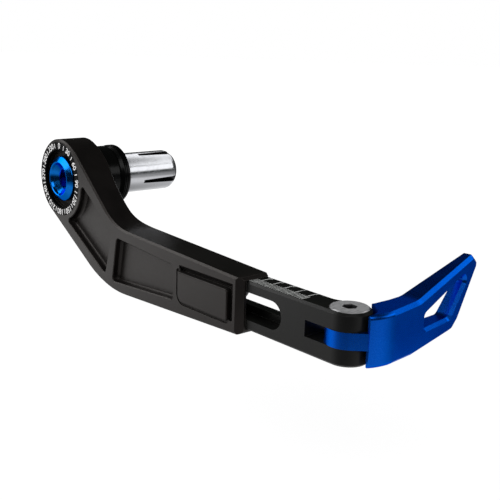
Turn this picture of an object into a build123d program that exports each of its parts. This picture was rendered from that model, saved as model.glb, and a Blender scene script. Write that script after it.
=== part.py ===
"""Bar-end lever guard: bar-end insert, cranked arm, sliding extension and hinged tip blade.

Frame: the hub axis is the Y axis and +Y points into the handlebar. The origin is on that axis, in the plane
where the bar-end flange meets the end of the handlebar. +X is forward, along the arm, and +Z is up.
Units are millimetres.
"""
from build123d import *

import math
import os

# ---------------------------------------------------------------- driving dimensions

# Stack along the hub axis, from the bar end outwards
flange_length = 4.2
spacer_length = 9.1
arm_thickness = 12.5

# Bar-end insert
flange_radius = 11.95
flange_round = 1.2
rim_groove_depth = 0.35
rim_groove_width = 0.4
rim_groove_pitch = 0.85
spacer_radius = 11.7
groove_valley_radius = 11.05
groove_run = 1.1
spigot_radius = 8.5
spigot_length = 1.5
collet_radius = 8.1
collet_length = 24.9
collet_root_radius = 7.0
collet_root_depth = 1.6
collet_nose_run = 1.6
collet_nose_drop = 0.7
slot_count = 4
collet_slot_width = 1.4
collet_slot_mouth = 2.6
collet_slot_start = 9.0
collet_slot_angle = -22.0
wedge_angle = 12.5
wedge_mouth_radius = 6.9
wedge_nut_length = 10.0
wedge_nut_proud = 1.2
key_pin_radius = 1.0
key_pin_length = 3.0
key_pin_inset = 4.6

# Main bolt, in the arm's hub
bolt_head_radius = 8.75
bolt_rim_radius = 7.0
bolt_head_proud = 0.7
bolt_flare_depth = 1.4
bolt_dish_radius = 6.3
bolt_dish_depth = 2.8
bolt_key_size = 7.0
bolt_key_depth = 3.2
bolt_journal_radius = 6.0
bolt_thread_radius = 4.0
bolt_washer_radius = 8.5
bolt_washer_thickness = 0.5
head_recess_radius = 11.4
head_recess_depth = 3.0
hub_bush_radius = 7.4
face_ring_radius = 14.35
face_ring_thickness = 1.5

# Arm outline, in the plane across the hub axis
hub_radius = 15.5
shoulder_blend_angle = 20.0
upper_edge_angle = 40.5
elbow_x = 38.8
elbow_z = -11.85
elbow_radius = 24.0
heel_x = 32.2
heel_z = -36.7
heel_radius = 45.0
arm_reach = 109.6
arm_edge_chamfer = 0.6
arm_waist_x = 30.0
arm_waist_depth = 2.0
arm_waist_radius = 50.0
arm_waist_blend = 20.0
arm_end_bevel = (1.8, 2.2)
arm_end_round = 0.4
arm_end_chamfer = 0.9
arm_end_corner = 1.4

# Arm pockets and pad
pocket_depth = 2.8
pocket_corner = 1.5
pocket_floor_round = 1.2
pocket_rim_chamfer = 0.25
hub_pocket_gap = 0.6
tie_pocket_start = 37.4
tie_pocket_end = 75.3
pad_start = 78.3
pad_length = 25.9
pad_top_drop = 6.0
pad_height = 10.4
pad_proud = 0.45
pad_edge_round = 0.45
pad_groove_width = 1.0
pad_groove_depth = 0.45
pad_big_corner = 2.8
pad_small_corner = 1.1
pad_recess_depth = 1.7
pad_recess_width = 2.4
pad_ramp_top = 2.3
pad_ramp_foot = 0.6

# Extension bar, its channel and its clamp
run_z = -24.0
bar_height = 15.8
bar_thickness = 9.4
bar_back_inset = 0.05
bar_edge_chamfer = 0.7
top_wall = 1.1
bottom_wall = 1.35
tail_start = 75.5
tail_relief = 1.15
tail_relief_end = 101.0
slot_inner_x = 82.0
slot_outer_x = 121.0
key_slot_height = 9.0
screw_slot_height = 4.2
web_thickness = 3.4
slide_in = 24.0
slide_out = 1.0
stop_gap = 0.1
clamp_screw_x = (83.6, 93.1)
clamp_screw_radius = 2.0
clamp_screw_length = 12.0
clamp_head_radius = 3.8
clamp_head_height = 2.2
clamp_key_size = 2.5
washer_radius = 4.5
washer_thickness = 0.8
spring_washer_radius = 3.5
spring_washer_thickness = 0.9
spring_washer_gap = 0.8
insert_radius = 2.6
insert_length = 6.0

# Fork and pivot
pivot_x = 146.4
knuckle_radius = 6.6
knuckle_blend = 7.0
fork_gap = 5.1
fork_gap_start = 135.4
pivot_head_radius = 5.8
pivot_head_proud = 0.3
pivot_thread_radius = 3.0
pivot_key_size = 4.0
pivot_key_depth = 2.2
barrel_radius = 4.0
barrel_flange_radius = 5.4
barrel_flange_thickness = 2.0
barrel_key_size = 4.0
pivot_screw_length = 11.5

# Tip blade
blade_angle = 99.0
blade_offset = 11.6
tongue_radius = 6.8
tongue_thickness = 5.0
tongue_bush_radius = 5.0
pivot_washer_radius = 5.6
pivot_washer_thickness = 0.6
scallop_radius = 7.9
scallop_chamfer = 0.4
root_radius = 8.9
root_front_angle = -6.0
root_back_angle = 80.0
root_edge_round = 1.4
root_end = 6.0
neck_inset = 0.15
neck_turn = 1.5
bevel_start = 4.6
blade_face_start = 6.9
blade_back_start = 14.2
blade_rise_start = 20.0
blade_reach = 55.7
blade_root_thickness = 7.6
blade_tip_thickness = 3.4
blade_tip_rise = 8.1
blade_front_bevel = 1.1
window_start = 22.6
window_low = 5.2
window_lean = 48.0
window_top_angle = 17.5
window_foot = 39.6
window_left_height = 6.2
window_corner = 1.9
window_foot_corner = 3.4
window_far_corner = 2.4
window_chamfer = 1.0

# Named clearances
slide_fit = 0.05
running_fit = 0.04
thread_fit = 0.05
seat_gap = 0.02

# ---------------------------------------------------------------- derived places

arm_back = -(flange_length + spacer_length)
arm_front = arm_back - arm_thickness
spacer_face = -flange_length
recess_floor = arm_front + head_recess_depth
bar_back = arm_back - bar_back_inset
bar_front = bar_back - bar_thickness
bar_top = run_z + bar_height / 2
bar_bottom = run_z - bar_height / 2
tail_front = bar_front + tail_relief
web_front = bar_back - web_thickness
channel_front = bar_front - slide_fit
tail_channel_front = tail_front - slide_fit
channel_top = bar_top + slide_fit
channel_bottom = bar_bottom - slide_fit
channel_start = tail_start - slide_in - 1.0
channel_step = tail_relief_end - slide_in - 0.5
arm_end_top = channel_top + top_wall
arm_end_bottom = channel_bottom - bottom_wall
rib_back = web_front - slide_fit
pivot_y = bar_front + knuckle_radius
pivot = (pivot_x, pivot_y)
tongue_top = run_z + tongue_thickness / 2
tongue_bottom = run_z - tongue_thickness / 2
wedge_slope = math.tan(math.radians(wedge_angle))
blade_u = (math.cos(math.radians(blade_angle)), math.sin(math.radians(blade_angle)))
blade_n = (blade_u[1], -blade_u[0])
blade_origin = (pivot_x + blade_offset * blade_n[0], pivot_y + blade_offset * blade_n[1])


# ---------------------------------------------------------------- helpers


def front_plane(y):
    """Sketch plane across the hub axis: local x is +X and local y is +Z; it faces -Y."""
    return Plane(origin=(0, y, 0), x_dir=(1, 0, 0), z_dir=(0, -1, 0))


def slab(face, y_front, y_back):
    """Solid of a sketch drawn in X and Z, from y_front to y_back."""
    return extrude(front_plane(y_back) * face, amount=y_back - y_front)


def y_cylinder(radius, y0, y1, x=0.0, z=0.0):
    """Cylinder along Y between two places."""
    return Location((x, (y0 + y1) / 2, z), (90, 0, 0)) * Cylinder(radius, abs(y1 - y0))


def y_tube(outer, inner, y0, y1, x=0.0, z=0.0):
    return y_cylinder(outer, y0, y1, x, z) - y_cylinder(inner, y0 - 1, y1 + 1, x, z)


def z_cylinder(radius, z0, z1, at=pivot):
    """Cylinder along Z between two heights."""
    return Location((at[0], at[1], (z0 + z1) / 2)) * Cylinder(radius, abs(z1 - z0))


def z_tube(outer, inner, z0, z1, at=pivot):
    return z_cylinder(outer, z0, z1, at) - z_cylinder(inner, z0 - 1, z1 + 1, at)


def box(x0, x1, y0, y1, z0, z1):
    """Box between two corners."""
    return Location(((x0 + x1) / 2, (y0 + y1) / 2, (z0 + z1) / 2)) * Box(x1 - x0, y1 - y0, z1 - z0)


def turned(profile):
    """Solid of revolution about the hub axis, from (radius, y) points."""
    return revolve(make_face(Polyline(*profile, close=True)), axis=Axis.Y)


def hex_prism(size, y0, y1):
    """Hexagon across the hub axis, with two corners level; size is the distance across its flats."""
    flats = RegularPolygon(size / 2, 6, major_radius=False)
    return slab(flats, y0, y1)


def z_hex_prism(size, z0, z1, at=pivot):
    flats = RegularPolygon(size / 2, 6, major_radius=False)
    return Location((at[0], at[1], z0)) * extrude(flats, amount=z1 - z0)


def rounded_polygon(points, radius):
    """Closed polygon in a sketch plane with every corner rounded."""
    face = make_face(Polyline(*points, close=True))
    return fillet(face.vertices(), radius)


def long_slot(x0, x1, height, y0, y1):
    """Slot with round ends along X, between two end centres, cut through y0 to y1."""
    face = Location(((x0 + x1) / 2, run_z)) * SlotCenterToCenter(x1 - x0, height)
    return slab(face, y0, y1)


# ---------------------------------------------------------------- bar-end insert


def make_bar_flange():
    """Black flange that seats on the end of the handlebar."""
    body = turned(
        [
            (bolt_thread_radius + 0.3, spacer_face),
            (groove_valley_radius, spacer_face),
            (flange_radius, spacer_face + groove_run),
            (flange_radius, 0),
            (bolt_thread_radius + 0.3, 0),
        ]
    )
    rim = body.edges().filter_by(GeomType.CIRCLE).sort_by(Axis.Y)[-2:]
    body = fillet([e for e in rim if e.radius > flange_radius - 0.1], flange_round)
    for step in (0, 1):
        start = spacer_face + groove_run + 0.2 + step * rim_groove_pitch
        body -= y_tube(flange_radius + 1, flange_radius - rim_groove_depth, start, start + rim_groove_width)
    return body - y_cylinder(collet_root_radius + seat_gap, -collet_root_depth, 1)


def make_hub_spacer():
    """Spacer between the arm and the flange, with a spigot that centres the arm."""
    body = turned(
        [
            (bolt_thread_radius + 0.3, arm_back - spigot_length),
            (spigot_radius, arm_back - spigot_length),
            (spigot_radius, arm_back),
            (spacer_radius - 0.4, arm_back),
            (spacer_radius, arm_back + 0.4),
            (spacer_radius, spacer_face - groove_run),
            (groove_valley_radius, spacer_face),
            (bolt_thread_radius + 0.3, spacer_face),
        ]
    )
    return body


def make_collet():
    """Slotted aluminium collet that the wedge nut spreads inside the handlebar."""
    root = -collet_root_depth
    nose = collet_length
    neck = bolt_thread_radius + 0.3
    cone_start = nose - (wedge_mouth_radius - neck) / wedge_slope
    body = turned(
        [
            (neck, root),
            (collet_root_radius, root),
            (collet_root_radius, 0),
            (collet_radius, 0),
            (collet_radius, nose - collet_nose_run),
            (collet_radius - collet_nose_drop * 0.35, nose - collet_nose_run * 0.4),
            (collet_radius - collet_nose_drop, nose),
            (wedge_mouth_radius, nose),
            (neck, cone_start),
        ]
    )
    half_width, half_mouth = collet_slot_width / 2, collet_slot_mouth / 2
    lower_wall = [(collet_slot_start, -half_width), (nose, -half_mouth), (nose + 1, -half_mouth)]
    upper_wall = [(y, -z) for y, z in reversed(lower_wall)]
    outline = Polyline(*lower_wall, *upper_wall, close=True)
    slot = extrude(Plane.YZ * make_face(outline), amount=collet_radius + 2)
    for i in range(slot_count):
        body -= slot.rotate(Axis.Y, -(collet_slot_angle + 360 / slot_count * i))
    return body


def wedge_radius(y):
    """Radius of the wedge nut's cone at a place along the hub axis."""
    return wedge_mouth_radius - running_fit - (collet_length - y) * wedge_slope


def make_wedge_nut():
    """Cone-shaped nut at the collet's nose, drawn in by the main bolt."""
    back = collet_length + wedge_nut_proud
    front = back - wedge_nut_length
    body = turned(
        [
            (bolt_thread_radius + thread_fit, front),
            (wedge_radius(front), front),
            (wedge_radius(collet_length - 0.2), collet_length - 0.2),
            (wedge_radius(collet_length - 0.2), back - 0.4),
            (wedge_radius(collet_length - 0.2) - 0.4, back),
            (bolt_thread_radius + thread_fit, back),
        ]
    )
    return body - make_key_pin()


def make_key_pin():
    """Pin in the wedge nut that runs in one collet slot, so that the nut can't turn."""
    pin_y = collet_length - key_pin_inset
    outer = collet_radius - 0.4
    inner = outer - key_pin_length
    pin = Location(((inner + outer) / 2, pin_y, 0), (0, 90, 0)) * Cylinder(key_pin_radius, outer - inner)
    return pin.rotate(Axis.Y, -(collet_slot_angle + 180))


def make_main_bolt():
    """Blue bolt with a dished conical head, a journal for the arm and a thread for the wedge nut."""
    front = arm_front - bolt_head_proud
    seat = recess_floor - bolt_washer_thickness
    thread_start = arm_back - spigot_length - 0.3
    body = turned(
        [
            (0, front + bolt_dish_depth),
            (bolt_key_size / math.sqrt(3) + 0.15, front + bolt_dish_depth),
            (bolt_dish_radius - 0.5, front + 0.9),
            (bolt_dish_radius, front + 0.15),
            (bolt_dish_radius + 0.2, front),
            (bolt_rim_radius - 0.25, front),
            (bolt_rim_radius, front + 0.2),
            (bolt_head_radius - 0.15, front + bolt_flare_depth),
            (bolt_head_radius, front + bolt_flare_depth + 0.2),
            (bolt_head_radius, seat - 0.2),
            (bolt_head_radius - 0.2, seat),
            (bolt_journal_radius, seat),
            (bolt_journal_radius, thread_start - 0.4),
            (bolt_journal_radius - 0.4, thread_start),
            (bolt_thread_radius, thread_start),
            (bolt_thread_radius, collet_length - 0.6),
            (bolt_thread_radius - 0.6, collet_length),
            (0, collet_length),
        ]
    )
    body -= hex_prism(bolt_key_size, front, front + bolt_dish_depth + bolt_key_depth)
    return body


def make_bolt_washer():
    """Thrust washer under the bolt's head."""
    inner_radius = bolt_journal_radius + 0.15
    return y_tube(bolt_washer_radius, inner_radius, recess_floor - bolt_washer_thickness, recess_floor)


# ---------------------------------------------------------------- arm


def arm_outline():
    """Outer outline of the arm, in X and Z: hub circle, elbow, straight run and heel."""
    normal = math.radians(90 - upper_edge_angle)
    blend = math.radians(shoulder_blend_angle)
    edge_distance = elbow_x * math.cos(normal) + elbow_z * math.sin(normal)
    shoulder_radius = (edge_distance - hub_radius * math.cos(blend)) / (1 - math.cos(blend))
    start = normal + blend
    centre = (
        (hub_radius - shoulder_radius) * math.cos(start),
        (hub_radius - shoulder_radius) * math.sin(start),
    )
    shoulder = CenterArc(centre, shoulder_radius, math.degrees(normal), shoulder_blend_angle)
    heel_distance = math.hypot(heel_x, heel_z)
    tangent = math.atan2(heel_z, heel_x) - math.acos(hub_radius / heel_distance)
    hub = CenterArc((0, 0), hub_radius, math.degrees(start), 360 + math.degrees(tangent - start))
    run = Polyline(hub @ 1, (heel_x, heel_z), (arm_reach, arm_end_bottom), (arm_reach, arm_end_top),
                   (elbow_x, elbow_z), shoulder @ 0)
    face = make_face(Curve() + [shoulder, hub, run])
    for x, z, radius in ((elbow_x, elbow_z, elbow_radius), (heel_x, heel_z, heel_radius),
                         (arm_reach, arm_end_bottom, arm_end_corner)):
        face = fillet(face.vertices().sort_by_distance((x, z))[0], radius)
    return chamfer(face.vertices().sort_by_distance((arm_reach, arm_end_top))[0], arm_end_chamfer)


def arm_plan():
    """Plan of the arm in X and Y, with one end corner bevelled and a waist in the back of the crank."""
    left = -hub_radius - 1
    bevel = [(arm_reach - arm_end_bevel[0], arm_front), (arm_reach, arm_front + arm_end_bevel[1])]
    face = make_face(Polyline((left, arm_front), *bevel, (arm_reach, arm_back), (left, arm_back), close=True))
    face = fillet(face.vertices().sort_by_distance((arm_reach, arm_front))[:2], arm_end_round)
    waist = Location((arm_waist_x, arm_back + arm_waist_radius - arm_waist_depth)) * Circle(arm_waist_radius)
    face -= waist
    ridges = [v for v in face.vertices() if v.Y > arm_back - 0.01 and left < v.X < arm_reach]
    return fillet(ridges, arm_waist_blend)


def arm_back_rim(body):
    """Outer edges of the arm's back: its flats and its waist."""
    backs = body.faces().filter_by(lambda face: face.normal_at().Y > 0.5)
    edges = [edge for face in backs for edge in face.edges()]
    return [e for e in edges if abs(e.tangent_at(0.5).Z) < 0.99 or e.center().X > arm_reach - 0.1]


def arm_top(x):
    """Height of the arm's upper edge along its straight run."""
    return elbow_z + (x - elbow_x) * (arm_end_top - elbow_z) / (arm_reach - elbow_x)


def arm_bottom(x):
    """Height of the arm's lower edge along its straight run."""
    return heel_z + (x - heel_x) * (arm_end_bottom - heel_z) / (arm_reach - heel_x)


def hub_pocket():
    """Pocket beside the hub, with one side concentric with the hub."""
    face = make_face(Polyline((12.0, 2.9), (37.6, -14.3), (32.5, -31.1), (-1.0, -12.2), close=True))
    face -= Circle(hub_radius + hub_pocket_gap)
    return fillet(face.vertices(), pocket_corner * 0.85)


def tie_pocket():
    """Pocket in the first half of the straight run."""
    rim = 3.9
    points = [
        (tie_pocket_start + 3.2, arm_top(tie_pocket_start + 3.2) - rim),
        (tie_pocket_end, arm_top(tie_pocket_end) - rim - 0.9),
        (tie_pocket_end, arm_bottom(tie_pocket_end) + rim + 0.6),
        (tie_pocket_start, arm_bottom(tie_pocket_start) + rim - 0.1),
    ]
    return rounded_polygon(points, pocket_corner)


def pad_outline():
    """Raised pad over the clamp screws, with one big corner."""
    top = arm_top(pad_start) - pad_top_drop
    low = top - pad_height
    end = pad_start + pad_length
    face = make_face(Polyline((pad_start, low), (end, low), (end, top), (pad_start, top), close=True))
    face = fillet(face.vertices().sort_by_distance((pad_start, low))[0], pad_big_corner)
    return fillet(face.vertices().sort_by(Axis.X)[-2:], pad_small_corner)


def pad_recess():
    """Sunk band above and beyond the pad, with a ramp up to the arm's upper edge."""
    top = arm_top(pad_start) - pad_top_drop
    low = top - pad_height
    right = pad_start + pad_length
    floor = arm_front + pad_recess_depth
    section = make_face(
        Polyline(
            (arm_front, top + pad_ramp_top),
            (floor, top + pad_ramp_foot),
            (floor, top - 1.0),
            (arm_front - 1, top - 1.0),
            (arm_front - 1, top + pad_ramp_top),
            close=True,
        )
    )
    section_plane = Plane(origin=(pad_start + 0.5, 0, 0), x_dir=(0, 1, 0), z_dir=(1, 0, 0))
    band = extrude(section_plane * section, amount=pad_length - 0.5 + pad_recess_width)
    side = box(right - 1.5, right + pad_recess_width, arm_front - 1, floor, low + 0.3, top)
    side = fillet(side.edges().filter_by(Axis.Y).sort_by(Axis.Z)[:2], 0.9)
    pad = slab(pad_outline(), arm_front - 2, floor)
    return band + side - pad


def arm_channel():
    """Channel for the extension bar, open at the arm's back and at its end."""
    end = arm_reach + 1
    tail = box(channel_start, channel_step + 1, tail_channel_front, arm_back + 1, channel_bottom, channel_top)
    tail = fillet(tail.edges().filter_by(Axis.Y).sort_by(Axis.X)[:2], 1.5)
    mouth = box(channel_step, end, channel_front, arm_back + 1, channel_bottom, channel_top)
    return tail + mouth


def make_arm():
    """The cranked arm: hub, pockets, pad, channel and clamp rib."""
    body = slab(arm_outline(), arm_front, arm_back)
    body = chamfer(body.faces().sort_by(Axis.Y)[0].outer_wire().edges(), arm_edge_chamfer)
    body &= Location((0, 0, -60)) * extrude(arm_plan(), amount=120)
    body = chamfer(arm_back_rim(body), arm_edge_chamfer)
    for face in (hub_pocket(), tie_pocket()):
        pocket = slab(face, arm_front - 1, arm_front + pocket_depth)
        floor = pocket.faces().sort_by(Axis.Y)[-1]
        body -= fillet(floor.edges(), pocket_floor_round)
    front = body.faces().filter_by(Axis.Y).sort_by(Axis.Y)[0]
    body = chamfer(front.inner_wires().edges(), pocket_rim_chamfer)
    body -= slab(offset(pad_outline(), pad_groove_width), arm_front - 1, arm_front + pad_groove_depth)
    body -= pad_recess()
    pad = slab(pad_outline(), arm_front - pad_proud, arm_front + pad_recess_depth)
    pad = fillet(pad.faces().sort_by(Axis.Y)[0].edges(), pad_edge_round)
    body += pad
    body -= arm_channel()
    rib = long_slot(slot_inner_x + slide_out + stop_gap, slot_outer_x - slide_in - stop_gap,
                    key_slot_height - 2 * slide_fit, channel_front, rib_back)
    body += rib
    for x in clamp_screw_x:
        body -= y_cylinder(insert_radius, rib_back - insert_length, rib_back + 1, x, run_z)
        body -= y_cylinder(clamp_screw_radius + thread_fit, bar_front - 1.3, rib_back, x, run_z)
    body -= y_cylinder(face_ring_radius + seat_gap, arm_front - 1, arm_front + face_ring_thickness)
    body -= y_cylinder(head_recess_radius, arm_front - 1, recess_floor)
    body -= y_cylinder(hub_bush_radius, arm_front, arm_back + 1)
    body -= y_cylinder(spigot_radius + running_fit, arm_back - spigot_length - 0.1, arm_back + 1)
    return body


def make_face_ring():
    """Black dial ring let into the hub's face."""
    body = y_tube(face_ring_radius, head_recess_radius, arm_front, arm_front + face_ring_thickness)
    rims = body.edges().filter_by(GeomType.CIRCLE).group_by(Axis.Y)[0]
    return chamfer(rims, 0.2)


def make_hub_bush():
    """Bush between the arm's hub and the bolt's journal."""
    inner_radius = bolt_journal_radius + running_fit
    return y_tube(hub_bush_radius, inner_radius, recess_floor, arm_back - spigot_length - 0.1)


# ---------------------------------------------------------------- extension clamp


def make_clamp_screws():
    """Two button-head screws that clamp the extension bar to the arm's rib."""
    screws = []
    head = bar_back + slide_fit + washer_thickness + spring_washer_thickness
    for x in clamp_screw_x:
        screw = y_cylinder(clamp_head_radius, head, head + clamp_head_height, x, run_z)
        screw = fillet(screw.edges().sort_by(Axis.Y)[-1], clamp_head_height * 0.75)
        screw += y_cylinder(clamp_screw_radius, head - clamp_screw_length, head, x, run_z)
        key = hex_prism(clamp_key_size, head + 0.6, head + clamp_head_height + 1)
        screw -= Location((x, 0, run_z)) * key
        screws.append(screw)
    return Compound(screws)


def make_clamp_washers():
    """Two flat washers under the clamp screws."""
    seat = bar_back + slide_fit
    return Compound(
        [y_tube(washer_radius, clamp_screw_radius + 0.15, seat, seat + washer_thickness, x, run_z)
         for x in clamp_screw_x]
    )


def make_spring_washers():
    """Two split spring washers under the clamp screws' heads."""
    seat = bar_back + slide_fit + washer_thickness
    inner_radius = clamp_screw_radius + 0.1
    half_gap = spring_washer_gap / 2
    washers = []
    for x in clamp_screw_x:
        ring = y_tube(spring_washer_radius, inner_radius, seat, seat + spring_washer_thickness, x, run_z)
        split = box(x - half_gap, x + half_gap, seat - 1, seat + 2, run_z, run_z + 5)
        washers.append(ring - split)
    return Compound(washers)


def make_thread_inserts():
    """Two steel thread inserts in the arm's rib."""
    return Compound(
        [y_tube(insert_radius, clamp_screw_radius + thread_fit, rib_back - insert_length, rib_back, x, run_z)
         for x in clamp_screw_x]
    )


# ---------------------------------------------------------------- extension bar and pivot


def bar_plan():
    """Plan of the extension bar in X and Y: straight bar with a round knuckle that bulges at the back."""
    straight = make_face(
        Polyline((tail_start, bar_front), (pivot_x, bar_front), (pivot_x, bar_back), (tail_start, bar_back),
                 close=True)
    )
    knuckle = Location(pivot) * Circle(knuckle_radius)
    plan = straight + knuckle
    notch = [v for v in plan.vertices() if v.Y > bar_back - 0.01 and tail_start + 1 < v.X < pivot_x]
    return fillet(notch, knuckle_blend)


def make_extension_bar():
    """Sliding bar with the clamp slot at its tail and the fork at its end."""
    body = Location((0, 0, bar_bottom)) * extrude(bar_plan(), amount=bar_height)
    rims = [e for z in (bar_bottom, bar_top) for e in body.edges() if abs(e.center().Z - z) < 0.01]
    body = chamfer(rims, bar_edge_chamfer)
    body -= box(tail_start - 1, tail_relief_end, bar_front - 1, tail_front, bar_bottom - 1, bar_top + 1)
    body -= long_slot(slot_inner_x, slot_outer_x, key_slot_height, bar_front - 1, web_front)
    body -= long_slot(slot_inner_x, slot_outer_x, screw_slot_height, bar_front - 1, bar_back + 1)
    half_gap = fork_gap / 2
    body -= box(fork_gap_start, pivot_x + 20, bar_front - 2, pivot_y + 20, run_z - half_gap, run_z + half_gap)
    sink = pivot_head_radius - barrel_radius
    cone = Cone(barrel_radius, pivot_head_radius + seat_gap, sink)
    body -= Location((pivot_x, pivot_y, bar_top - sink / 2)) * cone
    body -= z_cylinder(barrel_radius + seat_gap, bar_bottom - 1, bar_top)
    body -= z_cylinder(barrel_flange_radius + seat_gap, bar_bottom - 1, bar_bottom + barrel_flange_thickness)
    return body


def make_pivot_screw():
    """Countersunk stainless screw through the fork's upper cheek."""
    top = bar_top + pivot_head_proud
    cone_height = pivot_head_radius - pivot_thread_radius
    cone = Location((pivot_x, pivot_y, bar_top - cone_height / 2)) * Cone(
        pivot_thread_radius, pivot_head_radius, cone_height)
    rim = z_cylinder(pivot_head_radius, bar_top, top)
    rim = chamfer(rim.edges().sort_by(Axis.Z)[-1], pivot_head_proud * 0.95)
    shank = z_cylinder(pivot_thread_radius - thread_fit, bar_top - pivot_screw_length, bar_top - 0.5)
    return cone + rim + shank - z_hex_prism(pivot_key_size, top - pivot_key_depth, top + 1)


def make_pivot_barrel():
    """Barrel nut that the tip turns on, flush with the fork's lower face."""
    top = bar_top - (pivot_head_radius - pivot_thread_radius) - 0.05
    body = z_cylinder(barrel_radius, bar_bottom, top)
    body += z_cylinder(barrel_flange_radius, bar_bottom, bar_bottom + barrel_flange_thickness)
    body -= z_cylinder(pivot_thread_radius, bar_top - pivot_screw_length - 0.4, top + 1)
    body -= z_hex_prism(barrel_key_size, bar_bottom - 1, bar_bottom + 1.6)
    return body


# ---------------------------------------------------------------- tip blade


def blade_point(u, depth=0.0):
    """Plan point at u along the blade's front face and depth behind it."""
    return (
        blade_origin[0] + u * blade_u[0] - depth * blade_n[0],
        blade_origin[1] + u * blade_u[1] - depth * blade_n[1],
    )


def polar(radius, angle):
    """Plan point about the pivot."""
    a = math.radians(angle)
    return (pivot_x + radius * math.cos(a), pivot_y + radius * math.sin(a))


def blade_plan():
    """Plan of the blade in X and Y: scalloped root, curved shoulder and tapered blade."""
    front_root = polar(root_radius, root_front_angle)
    front_bend = blade_point(blade_face_start)
    front_tip = blade_point(blade_reach)
    back_tip = blade_point(blade_reach, blade_tip_thickness)
    back_bend = blade_point(blade_back_start, blade_root_thickness)
    back_root = polar(root_radius, root_back_angle)
    shoulder = TangentArc(front_bend, front_root, tangent=(-blade_u[0], -blade_u[1]))
    sides = Polyline(front_bend, front_tip, back_tip, back_bend, back_root)
    inner = Polyline(back_root, pivot, front_root)
    face = make_face(Curve() + [shoulder, sides, inner])
    return face - Location(pivot) * Circle(scallop_radius)


def blade_plane(depth=0.0):
    """Sketch plane at a depth behind the blade's front face: local x along the blade, local y up."""
    x, y = blade_point(0, depth)
    return Plane(origin=(x, y, 0), x_dir=(*blade_u, 0), z_dir=(*blade_n, 0))


def blade_band(start, end):
    """Block in front of and behind the blade's face, between two places along it."""
    face = Location(((start + end) / 2, run_z)) * Rectangle(end - start, 6 * bar_height)
    return extrude(blade_plane(-5) * face, amount=-40)


def blade_side_outline():
    """Side outline of the blade: along the blade and up."""
    points = [
        (bevel_start, bar_top),
        (blade_rise_start, bar_top),
        (blade_reach - 3.0, bar_top + blade_tip_rise),
        (blade_reach, bar_top + blade_tip_rise - 2.2),
        (blade_reach, bar_top + blade_tip_rise - 4.2),
        (blade_reach - 10.6, bar_bottom + 4.2),
        (blade_reach - 14.3, bar_bottom + 1.3),
        (blade_rise_start - 2.0, bar_bottom - 0.5),
        (bevel_start, bar_bottom),
    ]
    face = make_face(Polyline(*points, close=True))
    for corner, radius in ((points[1], 12.0), (points[5], 3.0), (points[6], 3.0)):
        face = fillet(face.vertices().sort_by_distance(corner)[0], radius)
    return face


def blade_window():
    """Window through the blade, chamfered at the front face."""
    low = bar_bottom + window_low
    left_top = low + window_left_height
    foot = (window_foot, low)
    lean = math.tan(math.radians(window_lean))
    rise = math.tan(math.radians(window_top_angle))
    far = (left_top - low + (lean * window_foot - rise * window_start)) / (lean - rise)
    far_corner = (far, low + lean * (far - window_foot))
    face = make_face(Polyline((window_start, low), foot, far_corner, (window_start, left_top), close=True))
    face = fillet([v for v in face.vertices() if v.X < window_start + 0.1], window_corner)
    for corner, radius in ((foot, window_foot_corner), (far_corner, window_far_corner)):
        face = fillet(face.vertices().sort_by_distance(corner)[0], radius)
    inner = offset(face, amount=-window_chamfer)
    bevel = loft([blade_plane(window_chamfer) * inner, blade_plane() * face])
    return extrude(blade_plane(12) * inner, amount=16) + bevel


def make_tip_blade():
    """Blue hinged tip: tongue for the fork, rounded root and tapered blade with a window."""
    plan = blade_plan()
    root = Location((0, 0, bar_bottom)) * extrude(plan, amount=bar_height)
    root &= blade_band(-20.0, root_end)
    arcs = root.edges().filter_by(GeomType.CIRCLE)
    shoulder = [e for e in arcs if abs(e.radius - scallop_radius) > 0.1 and abs(e.center().Z - run_z) > 1]
    root = fillet(shoulder, root_edge_round)
    arcs = root.edges().filter_by(GeomType.CIRCLE)
    root = chamfer([e for e in arcs if abs(e.radius - scallop_radius) < 0.01], scallop_chamfer)
    side = extrude(blade_plane() * blade_side_outline(), amount=-30)
    side = chamfer(side.faces().sort_by(Axis((0, 0, 0), (*blade_n, 0)))[-1].edges(), blade_front_bevel)
    blade = Location((0, 0, bar_bottom - 2)) * extrude(plan, amount=bar_height + blade_tip_rise + 4)
    body = root + (blade & side)
    neck_radius = root_radius - neck_inset
    flare = math.degrees(math.acos(tongue_radius / neck_radius))
    neck_front = root_front_angle + neck_turn
    neck_back = root_back_angle - neck_turn
    neck = make_face(
        Polyline(
            polar(tongue_radius, neck_front - flare),
            polar(neck_radius, neck_front),
            polar(neck_radius, neck_back),
            polar(tongue_radius, neck_back + flare),
            pivot,
            close=True,
        )
    )
    tongue_face = Location(pivot) * Circle(tongue_radius) + neck
    body += Location((0, 0, tongue_bottom)) * extrude(tongue_face, amount=tongue_thickness)
    body -= blade_window()
    body -= z_cylinder(tongue_bush_radius, bar_bottom, bar_top)
    pocket_radius = pivot_washer_radius + seat_gap
    body -= z_cylinder(pocket_radius, tongue_top - pivot_washer_thickness, tongue_top + 1)
    body -= z_cylinder(pocket_radius, tongue_bottom - 1, tongue_bottom + pivot_washer_thickness)
    return body


def make_pivot_bush():
    """Bronze bush in the tip's tongue."""
    recess = pivot_washer_thickness
    inner_radius = barrel_radius + running_fit
    return z_tube(tongue_bush_radius, inner_radius, tongue_bottom + recess, tongue_top - recess)


def make_pivot_washers():
    """Two friction washers sunk in the faces of the tip's tongue."""
    t = pivot_washer_thickness
    upper = z_tube(pivot_washer_radius, barrel_radius + 0.1, tongue_top - t, tongue_top)
    lower = z_tube(pivot_washer_radius, barrel_radius + 0.1, tongue_bottom, tongue_bottom + t)
    return Compound([upper, lower])


# ---------------------------------------------------------------- export

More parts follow.
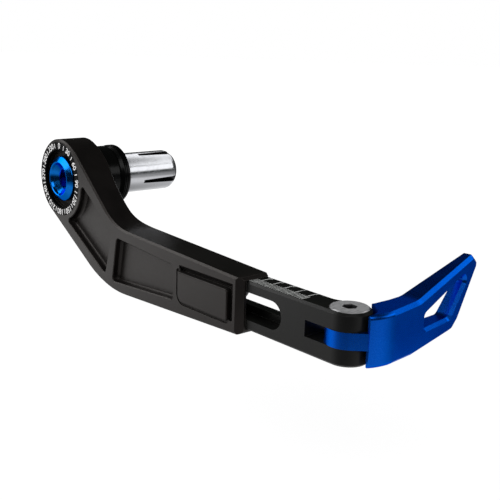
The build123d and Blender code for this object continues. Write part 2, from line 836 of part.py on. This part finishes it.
PARTS = {
    "bar_flange": make_bar_flange,
    "hub_spacer": make_hub_spacer,
    "expanding_collet": make_collet,
    "wedge_nut": make_wedge_nut,
    "nut_key_pin": make_key_pin,
    "main_bolt": make_main_bolt,
    "bolt_washer": make_bolt_washer,
    "arm": make_arm,
    "face_ring": make_face_ring,
    "hub_bush": make_hub_bush,
    "clamp_screws": make_clamp_screws,
    "clamp_washers": make_clamp_washers,
    "spring_washers": make_spring_washers,
    "thread_inserts": make_thread_inserts,
    "extension_bar": make_extension_bar,
    "pivot_screw": make_pivot_screw,
    "pivot_barrel": make_pivot_barrel,
    "tip_blade": make_tip_blade,
    "pivot_bush": make_pivot_bush,
    "pivot_washers": make_pivot_washers,
}

os.makedirs("parts", exist_ok=True)
for name, make in PARTS.items():
    export_step(make(), f"parts/{name}.step")
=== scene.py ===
import math

import bmesh
import bpy
from mathutils import Matrix, Vector


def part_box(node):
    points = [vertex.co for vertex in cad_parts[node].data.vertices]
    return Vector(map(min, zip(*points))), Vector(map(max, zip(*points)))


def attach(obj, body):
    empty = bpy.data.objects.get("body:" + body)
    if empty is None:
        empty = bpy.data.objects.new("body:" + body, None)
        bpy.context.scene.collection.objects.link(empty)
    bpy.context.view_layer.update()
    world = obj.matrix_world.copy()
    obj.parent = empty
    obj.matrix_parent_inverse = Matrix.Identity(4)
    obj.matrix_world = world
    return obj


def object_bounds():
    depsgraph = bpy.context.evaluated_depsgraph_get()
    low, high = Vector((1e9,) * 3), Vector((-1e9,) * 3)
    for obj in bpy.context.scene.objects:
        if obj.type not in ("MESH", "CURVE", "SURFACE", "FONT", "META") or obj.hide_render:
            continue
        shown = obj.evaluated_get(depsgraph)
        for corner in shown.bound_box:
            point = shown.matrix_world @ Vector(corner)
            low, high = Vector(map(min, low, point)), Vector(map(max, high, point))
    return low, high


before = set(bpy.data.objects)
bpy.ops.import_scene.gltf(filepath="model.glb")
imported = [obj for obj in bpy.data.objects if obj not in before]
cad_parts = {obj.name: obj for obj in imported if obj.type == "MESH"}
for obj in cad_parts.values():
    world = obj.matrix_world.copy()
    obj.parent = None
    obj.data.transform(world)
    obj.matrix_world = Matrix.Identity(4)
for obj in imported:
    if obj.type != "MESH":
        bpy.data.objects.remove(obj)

cad_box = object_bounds()

MM = 0.001

# Sockets of a colour Mix node, which shares its socket names with the other kinds
MIX_A, MIX_B, MIX_RESULT = 6, 7, 2

PIVOT_CENTRE = (0.1464, -0.01615, 0)

# ---------------------------------------------------------------- camera

camera_data = bpy.data.cameras.new("camera")
camera_data.lens = 63.12
camera_data.sensor_width = 36.0
camera_data.clip_start = 0.01
camera = bpy.data.objects.new("camera", camera_data)
camera.location = (0.30453, -0.19398, 0.059)
camera.rotation_euler = (math.radians(75.894), math.radians(-1.764), math.radians(49.003))
bpy.context.scene.collection.objects.link(camera)
bpy.context.scene.camera = camera

# ---------------------------------------------------------------- material helpers


class Net:
    """A node material under construction."""

    def __init__(self, name):
        self.mat = bpy.data.materials.new(name)
        self.mat.use_nodes = True
        self.tree = self.mat.node_tree
        self.bsdf = self.tree.nodes["Principled BSDF"]
        self.place = self.node("ShaderNodeTexCoord").outputs["Object"]

    def node(self, kind, **values):
        made = self.tree.nodes.new(kind)
        for key, value in values.items():
            if key in made.inputs:
                made.inputs[key].default_value = value
            else:
                setattr(made, key, value)
        return made

    def link(self, source, target):
        self.tree.links.new(source, target)

    def noise(self, size_mm, detail=2.0, stretch=(1, 1, 1)):
        """Noise with features of about size_mm; stretch lengthens them along an axis."""
        scale = self.node("ShaderNodeVectorMath", operation="MULTIPLY")
        scale.inputs[1].default_value = [1.0 / (size_mm * MM * s) for s in stretch]
        self.link(self.place, scale.inputs[0])
        noise = self.node("ShaderNodeTexNoise", Scale=1.0, Detail=detail)
        self.link(scale.outputs[0], noise.inputs["Vector"])
        return noise.outputs["Fac"]

    def ramp(self, value, low, high, to_low=0.0, to_high=1.0):
        """Map value from low..high to to_low..to_high, clamped."""
        made = self.node("ShaderNodeMapRange")
        ends = {"From Min": low, "From Max": high, "To Min": to_low, "To Max": to_high}
        for key, number in ends.items():
            made.inputs[key].default_value = number
        self.link(value, made.inputs["Value"])
        return made.outputs["Result"]

    def math(self, operation, a, b=0.0):
        made = self.node("ShaderNodeMath", operation=operation)
        for socket, value in zip(made.inputs, (a, b)):
            if isinstance(value, (int, float)):
                socket.default_value = value
            else:
                self.link(value, socket)
        return made.outputs[0]

    def mix(self, factor, a, b):
        made = self.node("ShaderNodeMix", data_type="RGBA")
        self.link(factor, made.inputs["Factor"])
        for socket, value in ((made.inputs[MIX_A], a), (made.inputs[MIX_B], b)):
            if isinstance(value, (tuple, list)):
                socket.default_value = (*value, 1.0)
            else:
                self.link(value, socket)
        return made.outputs[MIX_RESULT]

    def edges(self, radius_mm):
        """Mask of the sharp edges, about radius_mm wide on each side."""
        soft = self.node("ShaderNodeBevel", Radius=radius_mm * MM)
        soft.samples = 6
        true = self.node("ShaderNodeNewGeometry")
        dot = self.node("ShaderNodeVectorMath", operation="DOT_PRODUCT")
        self.link(soft.outputs["Normal"], dot.inputs[0])
        self.link(true.outputs["Normal"], dot.inputs[1])
        turn = self.math("SUBTRACT", 1.0, dot.outputs["Value"])
        return self.ramp(turn, 0.02, 0.16)

    def crevices(self, reach_mm):
        """Mask of the inner corners, where painted shade darkens them."""
        near = self.node("ShaderNodeAmbientOcclusion", Distance=reach_mm * MM)
        near.samples = 8
        return self.ramp(near.outputs["AO"], 0.4, 0.9, 1.0, 0.0)

    def bump(self, height, distance_mm):
        made = self.node("ShaderNodeBump", Strength=1.0, Distance=distance_mm * MM)
        self.link(height, made.inputs["Height"])
        self.link(made.outputs["Normal"], self.bsdf.inputs["Normal"])

    def set(self, **values):
        names = {"color": "Base Color", "metallic": "Metallic", "roughness": "Roughness",
                 "specular": "Specular IOR Level", "tint": "Specular Tint"}
        for key, value in values.items():
            socket = self.bsdf.inputs[names[key]]
            if isinstance(value, bpy.types.NodeSocket):
                self.link(value, socket)
            elif isinstance(value, (tuple, list)):
                socket.default_value = (*value, 1.0)
            else:
                socket.default_value = value


def anodised(name, dark, light, edge_wear_highlight_color, roughness, grain_mm=0.22, metallic=0.0, edge_wear_highlight=0.5,
             specular=0.5, tint=(1, 1, 1)):
    """Satin anodised aluminium over a fine bead-blasted surface, with edges lighter from wear and
    painted highlight, and painted shade in inner corners.
    """
    net = Net(name)
    cloud = net.noise(9.0, 3.0)
    grain = net.noise(grain_mm, 2.0)
    color = net.mix(net.ramp(cloud, 0.35, 0.65), dark, light)
    # painted shade: inner corners darkened, and made rougher
    corner_shade_mask = net.crevices(2.2)
    color = net.mix(corner_shade_mask, color, tuple(0.1 * c for c in dark))
    # edge wear and painted highlight: sharp edges made lighter in patches
    patchy = net.ramp(net.noise(2.5, 4.0), 0.35, 0.65, 0.4 * edge_wear_highlight, edge_wear_highlight)
    edge_wear_highlight_mask = net.math("MULTIPLY", net.edges(0.3), patchy)
    color = net.mix(edge_wear_highlight_mask, color, edge_wear_highlight_color)
    rough = net.math("ADD", net.ramp(grain, 0.3, 0.7, roughness - 0.05, roughness + 0.05),
                     net.ramp(cloud, 0.3, 0.7, -0.02, 0.02))
    rough = net.math("ADD", rough, net.math("MULTIPLY", corner_shade_mask, 0.5))
    net.set(color=color, roughness=rough, metallic=metallic, specular=specular, tint=tint)
    net.bump(grain, 0.004)
    return net


def turned_metal(name, color, roughness, axis="Y", pitch_mm=0.12, centre=(0, 0, 0), metallic=1.0,
                 bump_mm=0.0008, specular=0.5, tint=(1, 1, 1), scuffs=0.15, shade_reach_mm=4.0):
    """Lathe-turned metal: fine rings about an axis through centre, light scuffs, painted shade in inner
    corners.
    """
    net = Net(name)
    shift = net.node("ShaderNodeVectorMath", operation="SUBTRACT")
    shift.inputs[1].default_value = centre
    net.link(net.place, shift.inputs[0])
    parts = net.node("ShaderNodeSeparateXYZ")
    net.link(shift.outputs[0], parts.inputs[0])
    across = [parts.outputs[a] for a in "XYZ" if a != axis]
    squares = [net.math("POWER", side, 2.0) for side in across]
    radius = net.math("SQRT", net.math("ADD", *squares))
    along = parts.outputs[axis]
    steps = net.node("ShaderNodeCombineXYZ")
    net.link(net.math("MULTIPLY", radius, 1 / (pitch_mm * MM)), steps.inputs[0])
    net.link(net.math("MULTIPLY", along, 1 / (pitch_mm * MM)), steps.inputs[1])
    rings = net.node("ShaderNodeTexNoise", Scale=1.0, Detail=1.0)
    net.link(steps.outputs[0], rings.inputs["Vector"])
    scuff = net.ramp(net.noise(0.9, 4.0, (1, 5, 1)), 0.56, 0.72)
    rough = net.math("ADD", net.ramp(rings.outputs["Fac"], 0.3, 0.7, roughness - 0.05, roughness + 0.05),
                     net.math("MULTIPLY", scuff, scuffs))
    shade = net.mix(net.math("MULTIPLY", scuff, 2 * scuffs), color, tuple(0.72 * c for c in color))
    # painted shade: inner corners darkened
    shade = net.mix(net.crevices(shade_reach_mm), shade, tuple(0.08 * c for c in color))
    net.set(color=shade, roughness=rough, metallic=metallic, specular=specular, tint=tint)
    net.bump(rings.outputs["Fac"], bump_mm)
    return net


# ---------------------------------------------------------------- materials

arm_black = anodised("arm_black", (0.006, 0.0048, 0.0046), (0.009, 0.0074, 0.007),
                     (0.12, 0.11, 0.105), 0.36, specular=0.42, tint=(1.0, 0.92, 0.88), edge_wear_highlight=0.8)
bar_black = anodised("bar_black", (0.005, 0.005, 0.005), (0.008, 0.008, 0.007),
                     (0.08, 0.08, 0.08), 0.34, grain_mm=0.16, specular=0.32)
spacer_black = turned_metal("spacer_black", (0.003, 0.003, 0.003), 0.22, metallic=0.0, specular=0.22)
ring_black = turned_metal("ring_black", (0.004, 0.004, 0.004), 0.45, metallic=0.0, pitch_mm=0.2,
                          specular=0.06)
tip_blue = anodised("tip_blue", (0.004, 0.11, 0.68), (0.004, 0.13, 0.76), (0.02, 0.24, 0.90), 0.28,
                    metallic=1.0, tint=(0.1, 0.40, 1.0))
bolt_blue = turned_metal("bolt_blue", (0.006, 0.18, 0.68), 0.19, tint=(0.15, 0.45, 1.0),
                         shade_reach_mm=2.8)
collet_silver = turned_metal("collet_silver", (0.87, 0.88, 0.92), 0.20, pitch_mm=0.4,
                             bump_mm=0.0004, scuffs=0.08)
steel_dark = turned_metal("steel_dark", (0.06, 0.06, 0.065), 0.35)
steel_plain = turned_metal("steel_plain", (0.55, 0.55, 0.56), 0.30)
washer_black = turned_metal("washer_black", (0.05, 0.05, 0.052), 0.35)
stainless_screw = turned_metal("stainless_screw", (0.55, 0.55, 0.56), 0.42, axis="Z",
                               pitch_mm=0.5, centre=PIVOT_CENTRE, bump_mm=0.003, scuffs=0.4)
bronze = turned_metal("bronze", (0.45, 0.27, 0.10), 0.40)
oxide_screw = anodised("oxide_screw", (0.035, 0.035, 0.038), (0.05, 0.05, 0.052),
                       (0.2, 0.2, 0.2), 0.36, metallic=0.6)


def printed(name, color):
    """Pale printed marks, slightly uneven."""
    net = Net(name)
    patch = net.ramp(net.noise(0.5, 3.0), 0.3, 0.7, 0.0, 1.0)
    net.set(color=net.mix(patch, tuple(0.8 * c for c in color), color), roughness=0.55)
    return net


ring_print = printed("ring_print", (0.90, 0.89, 0.89))
ruler_print = printed("ruler_print", (0.80, 0.82, 0.80))

FINISH = {
    "bar_flange": spacer_black,
    "hub_spacer": spacer_black,
    "expanding_collet": collet_silver,
    "wedge_nut": steel_dark,
    "nut_key_pin": steel_plain,
    "main_bolt": bolt_blue,
    "bolt_washer": steel_plain,
    "arm": arm_black,
    "face_ring": ring_black,
    "hub_bush": bronze,
    "clamp_screws": oxide_screw,
    "clamp_washers": washer_black,
    "spring_washers": washer_black,
    "thread_inserts": steel_plain,
    "extension_bar": bar_black,
    "pivot_screw": stainless_screw,
    "pivot_barrel": stainless_screw,
    "tip_blade": tip_blue,
    "pivot_bush": bronze,
    "pivot_washers": steel_plain,
}

for node, net in FINISH.items():
    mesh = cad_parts[node].data
    mesh.materials.clear()
    mesh.materials.append(net.mat)

# ---------------------------------------------------------------- printed scales

PRINT_THICKNESS = 0.02 * MM
STROKE_SPREAD = 0.02  # of the figure's size

RING_INNER_RADIUS = 11.4 * MM
RING_STEP = 30  # degrees between figures, with a tick halfway
RING_FIGURE = 3.1 * MM
RING_TICK = (0.4 * MM, 1.9 * MM)

RULER_ZERO = 22.1 * MM  # beyond the arm's end
RULER_INSET = 0.9 * MM
RULER_LAST = 25
RULER_MAJOR = (0.40 * MM, 6.6 * MM)
RULER_MINOR = (0.30 * MM, 3.6 * MM)
RULER_FIGURE = 1.5 * MM
RULER_FIGURE_SHIFT = (0.2 * MM, 0.5 * MM)


class Print:
    """Thin printed marks collected into one piece."""

    def __init__(self):
        self.shape = bmesh.new()

    def bar(self, width, length, matrix):
        """A bar centred on its own origin, width along x and length along y."""
        size = Matrix.Diagonal((width, length, PRINT_THICKNESS, 1.0))
        bmesh.ops.create_cube(self.shape, size=1.0, matrix=matrix @ size)

    def number(self, value, size, matrix):
        """A number centred on its own origin."""
        text = bpy.data.curves.new("number", "FONT")
        text.body = str(value)
        text.size = size
        text.align_x = "CENTER"
        text.align_y = "CENTER"
        text.extrude = PRINT_THICKNESS / 2
        text.offset = size * STROKE_SPREAD
        holder = bpy.data.objects.new("number", text)
        mesh = bpy.data.meshes.new_from_object(holder)
        mesh.transform(matrix)
        self.shape.from_mesh(mesh)
        bpy.data.objects.remove(holder)
        bpy.data.curves.remove(text)
        bpy.data.meshes.remove(mesh)

    def piece(self, name, net, body):
        mesh = bpy.data.meshes.new(name)
        self.shape.to_mesh(mesh)
        self.shape.free()
        mesh.materials.append(net.mat)
        piece = bpy.data.objects.new(name, mesh)
        bpy.context.scene.collection.objects.link(piece)
        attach(piece, body)


def make_ring_scale():
    """Degrees round the ring in the hub's face, read from the front."""
    low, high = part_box("face_ring")
    outer = (high[0] - low[0]) / 2
    radius = (outer + RING_INNER_RADIUS) / 2
    marks = Print()
    upright = Matrix.Translation((0, low[1], 0)) @ Matrix.Rotation(math.radians(90), 4, "X")

    def place(angle):
        turn = Matrix.Rotation(math.radians(-angle), 4, "Z")
        return upright @ turn @ Matrix.Translation((0, radius, 0))

    for angle in range(0, 360, RING_STEP):
        marks.number(angle, RING_FIGURE, place(angle))
        marks.bar(*RING_TICK, place(angle + RING_STEP / 2))
    marks.piece("ring_scale", ring_print, "guard_arm")


def make_ruler():
    """Millimetre ruler on the extension's top, with a figure at every fifth mark."""
    low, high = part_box("extension_bar")
    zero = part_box("arm")[1][0] + RULER_ZERO
    front = low[1] + RULER_INSET
    top = high[2]
    marks = Print()
    for value in range(-1, RULER_LAST + 1):
        major = value % 5 == 0
        width, length = RULER_MAJOR if major else RULER_MINOR
        x = zero - value * MM
        marks.bar(width, length, Matrix.Translation((x, front + length / 2, top)))
        if major:
            aside, beyond = RULER_FIGURE_SHIFT
            spot = Matrix.Translation((x + aside, front + length + beyond, top))
            marks.number(value, RULER_FIGURE, spot)
    marks.piece("extension_ruler", ruler_print, "extension")


make_ring_scale()
make_ruler()

# ---------------------------------------------------------------- floor, world and lamps

FLOOR_DROP = 0.05
FLOOR_BACK, FLOOR_FRONT = 4.0, 0.34
WORLD_LIGHT = (0.22, 0.22, 0.22)
WORLD_MIRRORED = (0.02, 0.023, 0.021)
WHITE = (1.0, 1.0, 1.0)

floor_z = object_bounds()[0][2] - FLOOR_DROP
middle = (Vector(cad_box[0]) + Vector(cad_box[1])) / 2


def make_floor():
    """Floor that is pale to the camera and graded in mirrored rays.

    It ends a little in front of the object. The grading gives the object's flat faces the
    bright and dark reflections of the photograph; x and y are measured along the floor.
    """
    mesh = bpy.data.meshes.new("floor")
    corners = [(-FLOOR_BACK, -FLOOR_FRONT, 0), (FLOOR_BACK, -FLOOR_FRONT, 0),
               (FLOOR_BACK, FLOOR_BACK, 0), (-FLOOR_BACK, FLOOR_BACK, 0)]
    mesh.from_pydata(corners, [], [(0, 1, 2, 3)])
    floor = bpy.data.objects.new("floor", mesh)
    floor.location = (0, 0, floor_z)
    floor.rotation_euler.z = camera.rotation_euler.z
    bpy.context.scene.collection.objects.link(floor)
    net = Net("floor_white")
    net.set(color=(0.25, 0.25, 0.25), roughness=0.9, specular=0.0)
    path = net.node("ShaderNodeLightPath")
    parts = net.node("ShaderNodeSeparateXYZ")
    net.link(net.place, parts.inputs[0])
    x, y = parts.outputs["X"], parts.outputs["Y"]
    length = net.node("ShaderNodeVectorMath", operation="LENGTH")
    net.link(net.place, length.inputs[0])
    away = length.outputs["Value"]
    direct = net.math("MAXIMUM", path.outputs["Is Camera Ray"], path.outputs["Is Transmission Ray"])
    seen = net.math("MULTIPLY", direct, net.ramp(away, 0.20, 0.5, 0.88, 1.0))
    slant = net.math("ADD", y, net.math("MULTIPLY", net.math("MAXIMUM", x, 0.0), 0.6))
    behind_tip = net.math("MULTIPLY", net.ramp(x, 0.18, 0.26), net.ramp(y, -0.20, -0.10, 0.0, 0.8))
    shades = (
        net.ramp(away, 0.05, 0.11, 0.12, 0.56),  # dim under the object
        net.ramp(away, 0.35, 0.6, 1.0, 0.25),  # dim far away
        net.ramp(slant, -0.24, -0.15, 0.1, 1.0),  # dim towards the front edge
        net.ramp(x, -0.22, -0.11, 2.1, 0.9),  # bright on the left
        net.math("SUBTRACT", 1.0, behind_tip),
    )
    mirrored = path.outputs["Is Glossy Ray"]
    for shade in shades:
        mirrored = net.math("MULTIPLY", mirrored, shade)
    glow = net.node("ShaderNodeEmission")
    net.link(net.math("MAXIMUM", seen, mirrored), glow.inputs["Strength"])
    both = net.node("ShaderNodeAddShader")
    net.link(net.bsdf.outputs[0], both.inputs[0])
    net.link(glow.outputs[0], both.inputs[1])
    net.link(both.outputs[0], net.tree.nodes["Material Output"].inputs["Surface"])
    mesh.materials.append(net.mat)


def make_world():
    """Even dim light all round, white to the camera and nearly black in mirrored rays."""
    world = bpy.data.worlds.new("studio")
    bpy.context.scene.world = world
    world.use_nodes = True
    tree = world.node_tree
    path = tree.nodes.new("ShaderNodeLightPath")
    shiny = tree.nodes.new("ShaderNodeMix")
    shiny.data_type = "RGBA"
    shiny.inputs[MIX_A].default_value = (*WORLD_LIGHT, 1.0)
    shiny.inputs[MIX_B].default_value = (*WORLD_MIRRORED, 1.0)
    tree.links.new(path.outputs["Is Glossy Ray"], shiny.inputs[0])
    direct = tree.nodes.new("ShaderNodeMath")
    direct.operation = "MAXIMUM"
    tree.links.new(path.outputs["Is Camera Ray"], direct.inputs[0])
    tree.links.new(path.outputs["Is Transmission Ray"], direct.inputs[1])
    seen = tree.nodes.new("ShaderNodeMix")
    seen.data_type = "RGBA"
    seen.inputs[MIX_B].default_value = (*WHITE, 1.0)
    tree.links.new(direct.outputs[0], seen.inputs[0])
    tree.links.new(shiny.outputs[MIX_RESULT], seen.inputs[MIX_A])
    tree.links.new(seen.outputs[MIX_RESULT], tree.nodes["Background"].inputs["Color"])


def make_lamp(name, azimuth, elevation, distance, size, radiance, only=()):
    """Softbox that faces the object; azimuth runs from +X towards +Y, in degrees.

    A lamp with pieces in only is linked to them and lights nothing else.
    """
    data = bpy.data.lights.new(name, "AREA")
    data.shape = "RECTANGLE"
    data.size, data.size_y = size
    data.energy = radiance * math.pi * size[0] * size[1]
    lamp = bpy.data.objects.new(name, data)
    a, e = math.radians(azimuth), math.radians(elevation)
    way = Vector((math.cos(a) * math.cos(e), math.sin(a) * math.cos(e), math.sin(e)))
    lamp.location = middle + way * distance
    lamp.rotation_euler = way.to_track_quat("Z", "Y").to_euler()
    lamp.visible_camera = False
    bpy.context.scene.collection.objects.link(lamp)
    if only:
        lamp.light_linking.receiver_collection = bpy.data.collections.new(name)
        for piece in only:
            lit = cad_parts.get(piece) or bpy.data.objects[piece]
            lamp.light_linking.receiver_collection.objects.link(lit)


make_floor()
make_world()
make_lamp("key", -30, 42, 0.9, (0.9, 0.5), 1.8)
make_lamp("left", -132, 34, 0.9, (1.0, 0.42), 2.6)
make_lamp("back", 45, 22, 0.8, (0.5, 0.34), 1.1)
make_lamp("sky", 98, 44, 0.8, (1.3, 0.36), 1.05,
          only=("expanding_collet", "main_bolt", "pivot_screw"))
make_lamp("edge", 81, 34, 0.8, (0.76, 0.3), 0.8, only=("tip_blade",))
make_lamp("rear", 138, 14, 0.8, (0.8, 0.6), 0.15, only=("tip_blade",))
make_lamp("print", -100, 30, 0.8, (0.8, 0.5), 3.0, only=("ring_scale",))

scene = bpy.context.scene
scene.view_settings.view_transform = "Standard"
